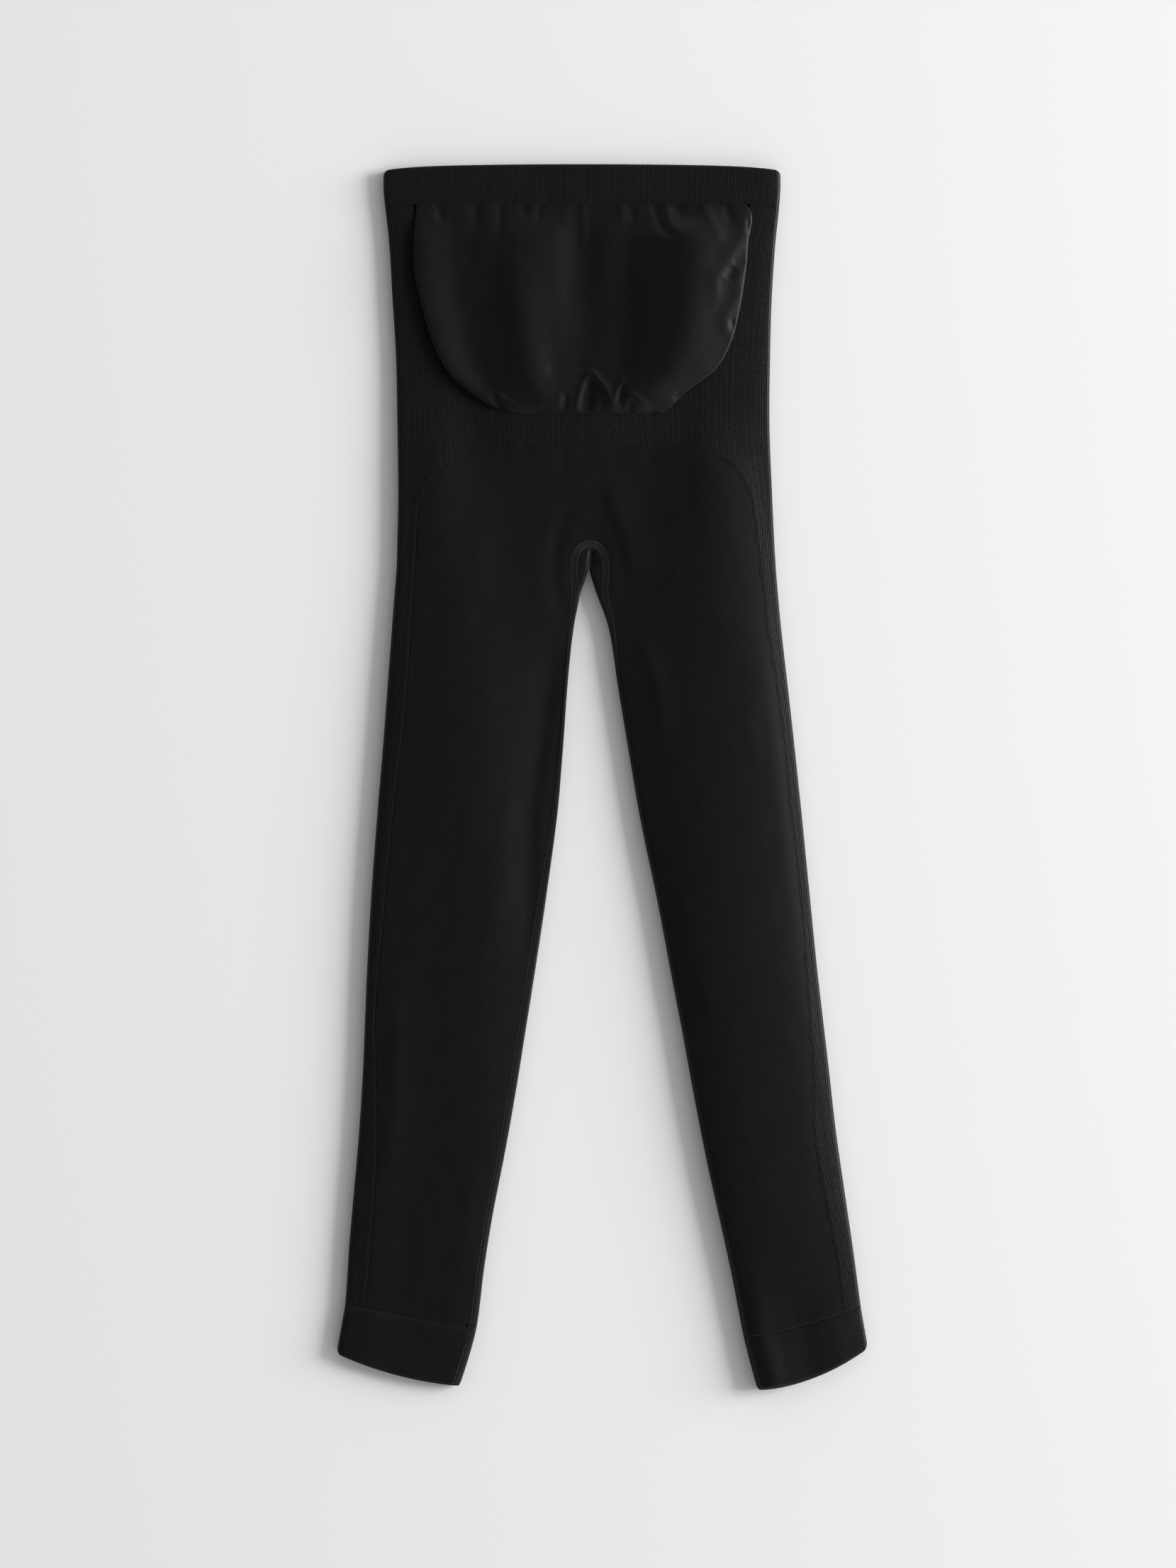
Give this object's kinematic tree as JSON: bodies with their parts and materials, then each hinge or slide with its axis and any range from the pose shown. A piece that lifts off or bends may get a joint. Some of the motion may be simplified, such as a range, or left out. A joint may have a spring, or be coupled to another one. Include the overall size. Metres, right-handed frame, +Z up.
{
  "type": "leggings",
  "caption": "Maternity leggings laid flat: ribbed waistband, gathered belly pouch, jersey legs with ribbed sides, a crotch gusset and plain cuffs.",
  "frame": {"origin": "centre of the laid-flat garment's bounding box, on the surface it lies on", "axes": "+Z up out of the front, +Y towards the waistband, +X towards the wearer's left leg, which is the right one as seen from the front"},
  "size_m": [0.4114, 0.9494, 0.0164],
  "materials": {
    "rib_knit": "matte black rib knit",
    "jersey_knit": "smooth matte black jersey knit",
    "cuff_knit": "matte black double knit"
  },
  "bodies": {
    "root": {"waistband": "rib_knit", "rib_front": "rib_knit", "rib_back": "rib_knit", "side_rib_left": "rib_knit", "side_rib_right": "rib_knit", "belly_panel": "jersey_knit", "front_yoke": "jersey_knit", "seat": "jersey_knit", "gusset": "jersey_knit", "leg_left": "jersey_knit", "leg_right": "jersey_knit", "cuff_left": "cuff_knit", "cuff_right": "cuff_knit"}
  },
  "joints": []
}
